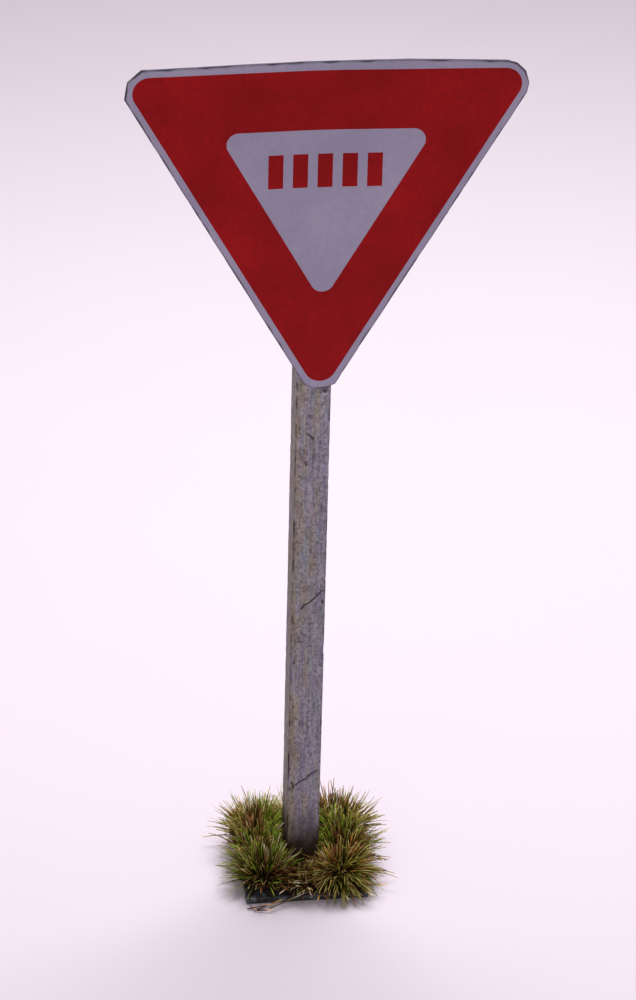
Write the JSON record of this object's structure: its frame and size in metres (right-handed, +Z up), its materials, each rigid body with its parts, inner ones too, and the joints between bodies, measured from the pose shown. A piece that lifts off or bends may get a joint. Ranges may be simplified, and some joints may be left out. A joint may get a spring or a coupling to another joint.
{
  "type": "signpost with sign",
  "caption": "Model road sign: a downward-pointing triangular face glued to the front of a square timber post that stands on a small square plate with grass tufts.",
  "frame": {"origin": "on the post's axis at the underside of the base plate", "axes": "+Z up along the post, the sign's face looks along -Y, +X to the sign's right as a reader sees it"},
  "size_m": [0.0557, 0.0246, 0.133],
  "materials": {
    "base_plastic": "painted dark, matte",
    "ground_paste": "rough earth-coloured texture paste",
    "post_wood": "weathered grey wash over raw strip wood",
    "clear_glue": "dried clear contact glue",
    "card": "uncoated grey card",
    "paper_white": "printed satin paper, unprinted white",
    "paper_red": "printed satin paper, red ink",
    "tuft_pad": "latex pad, earth coloured",
    "grass_fibre": "nylon static-grass fibres in mixed greens, olive and straw"
  },
  "bodies": {
    "root": {"base_plate": "base_plastic", "ground_paste": "ground_paste", "post": "post_wood", "post_glue": "ground_paste", "sign_glue": "clear_glue", "sign_card": "card", "label_border": "paper_white", "label_red_band": "paper_red", "label_field": "paper_white", "label_bars": "paper_red", "pad_back_left": "tuft_pad", "pad_back": "tuft_pad", "pad_back_right": "tuft_pad", "pad_left": "tuft_pad", "pad_right": "tuft_pad", "pad_front_left": "tuft_pad", "pad_front": "tuft_pad", "pad_front_right": "tuft_pad", "grass_back_left": "grass_fibre", "grass_back": "grass_fibre", "grass_back_right": "grass_fibre", "grass_left": "grass_fibre", "grass_right": "grass_fibre", "grass_front_left": "grass_fibre", "grass_front": "grass_fibre", "grass_front_right": "grass_fibre"}
  },
  "joints": []
}
